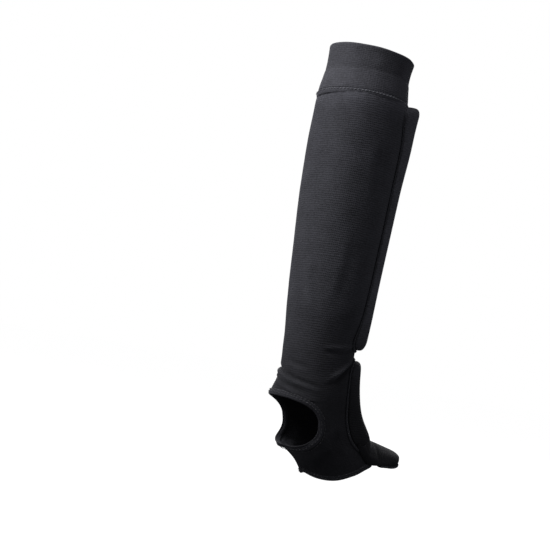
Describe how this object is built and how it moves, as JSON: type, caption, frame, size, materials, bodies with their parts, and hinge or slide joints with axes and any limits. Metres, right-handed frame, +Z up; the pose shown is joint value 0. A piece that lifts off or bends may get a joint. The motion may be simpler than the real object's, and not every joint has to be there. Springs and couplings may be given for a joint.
{
  "type": "shin guard",
  "caption": "Slip-on knitted shin and instep guard: elastic cuff, padded sleeve, open heel, stirrup band under the foot and padded toe flap.",
  "frame": {"origin": "centre of the cuff's mouth, at the top of its straight inner wall, on the leg's line", "axes": "+Z up the shin, out of the cuff's mouth; +Y forwards, to the shin pad and the toes; +X to the wearer's right on a guard facing away, so the guard is symmetric about X = 0"},
  "size_m": [0.1006, 0.1672, 0.466],
  "materials": {
    "sleeve_knit": "thick charcoal-black cotton and elastane knit, matt, fine crosswise ribs",
    "pad_cloth": "charcoal-black knit stretched smooth over foam",
    "seam_knit": "turned and overlocked knit edge, darker and denser",
    "sewing_thread": "grey-black polyester thread, slight sheen",
    "pad_foam": "grey closed-cell foam, matt",
    "elastic_tape": "off-white woven elastic"
  },
  "bodies": {
    "shin": {"cuff_band": "sleeve_knit", "cuff_elastic": "elastic_tape", "cuff_seam_roll": "seam_knit", "cuff_seam_thread": "sewing_thread", "calf_sleeve": "sleeve_knit", "shin_foam": "pad_foam", "shin_pad_cover": "pad_cloth", "shin_pad_stitching": "sewing_thread", "ankle_knit": "sleeve_knit"},
    "foot": {"foot_sleeve": "sleeve_knit", "heel_hem": "seam_knit", "heel_hem_stitching": "sewing_thread", "foot_hem": "seam_knit", "foot_hem_stitching": "sewing_thread", "instep_foam": "pad_foam", "instep_pad_cover": "pad_cloth", "instep_pad_stitching": "sewing_thread"},
    "toe_flap": {"toe_flap_foam": "pad_foam", "toe_flap_cover": "pad_cloth", "toe_flap_lining": "sleeve_knit", "toe_flap_stitching": "sewing_thread"}
  },
  "joints": [
    {"name": "ankle_flex", "type": "hinge", "parent": "shin", "child": "foot", "pos_m": [0, 0.036, -0.328], "axis": [1, 0, 0], "range_deg": [-10, 40], "stiffness_Nm_per_rad": 0.3, "deforming": ["ankle_knit"]},
    {"name": "toe_flap_flex", "type": "hinge", "parent": "foot", "child": "toe_flap", "pos_m": [0, 0.0683, -0.424], "axis": [1, 0, 0], "range_deg": [-15, 20], "stiffness_Nm_per_rad": 0.15}
  ]
}
